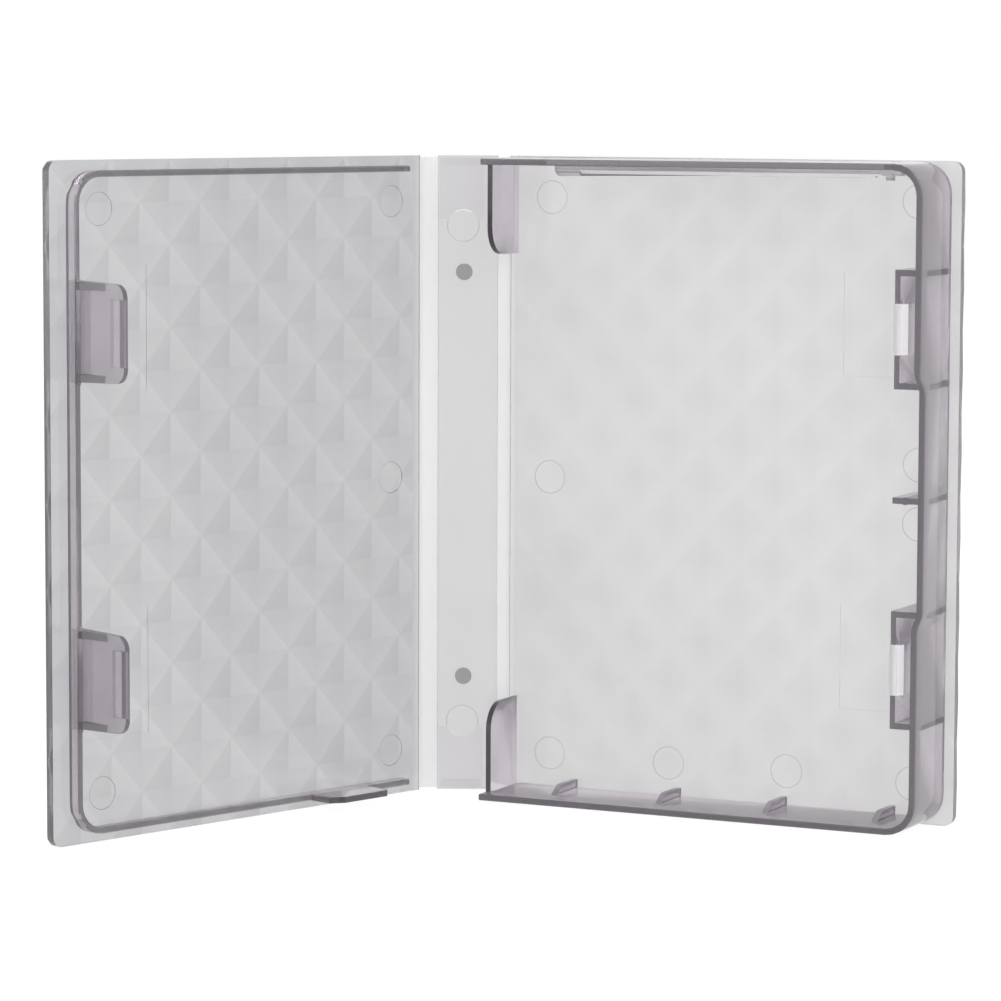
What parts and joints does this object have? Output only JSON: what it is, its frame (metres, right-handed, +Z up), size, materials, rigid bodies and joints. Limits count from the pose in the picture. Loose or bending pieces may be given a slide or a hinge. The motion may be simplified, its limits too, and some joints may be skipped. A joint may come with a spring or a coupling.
{
  "type": "hard drive case",
  "caption": "Hinged translucent plastic book-style case for a small hard drive: walled tray, flat lid with latch tongues, and a flat spine on two living hinges.",
  "frame": {"origin": "middle of the bounding box's bottom face, on the table that the half-open case stands on", "axes": "+Z up along the spine and both hinge axes; the tray's floor lies in the X-Z plane and its open side faces -Y; +X runs from the tray's hinge to its free edge; the spine is turned 25.6 degrees and the lid 70.8 degrees about +Z"},
  "size_m": [0.1206, 0.0834, 0.107],
  "materials": {
    "smoke_shell": "smoke-grey translucent polypropylene, satin inside, fine pyramid relief outside",
    "smoke_thick": "the same translucent polypropylene seen edge-on, where it looks darker",
    "hinge_web": "thin flexed web, whitened by the light that it lets through"
  },
  "bodies": {
    "tray": {"tray_shell": "smoke_shell", "upper_catch_box": "smoke_thick", "lower_catch_box": "smoke_thick", "retaining_rail": "smoke_thick"},
    "spine": {"spine_panel": "smoke_shell", "tray_hinge_web": "hinge_web", "lid_hinge_web": "hinge_web"},
    "lid": {"lid_shell": "smoke_shell"},
    "upper_latch": {"upper_latch_tongue": "smoke_thick"},
    "lower_latch": {"lower_latch_tongue": "smoke_thick"}
  },
  "joints": [
    {"name": "tray_hinge", "type": "hinge", "parent": "tray", "child": "spine", "pos_m": [-0.01993, 0.04001, 0.0535], "axis": [0, 0, 1], "range_deg": [-25.6, 64.4], "deforming": ["tray_hinge_web"]},
    {"name": "lid_hinge", "type": "hinge", "parent": "spine", "child": "lid", "pos_m": [-0.03229, 0.03409, 0.0535], "axis": [0, 0, 1], "range_deg": [-45.2, 44.8], "deforming": ["lid_hinge_web"]},
    {"name": "upper_latch_flex", "type": "hinge", "parent": "lid", "child": "upper_latch", "pos_m": [-0.05711, -0.03718, 0.0806], "axis": [0, 0, -1], "range_deg": [0, 5], "stiffness_Nm_per_rad": 0.4},
    {"name": "lower_latch_flex", "type": "hinge", "parent": "lid", "child": "lower_latch", "pos_m": [-0.05711, -0.03718, 0.0264], "axis": [0, 0, -1], "range_deg": [0, 5], "stiffness_Nm_per_rad": 0.4}
  ]
}
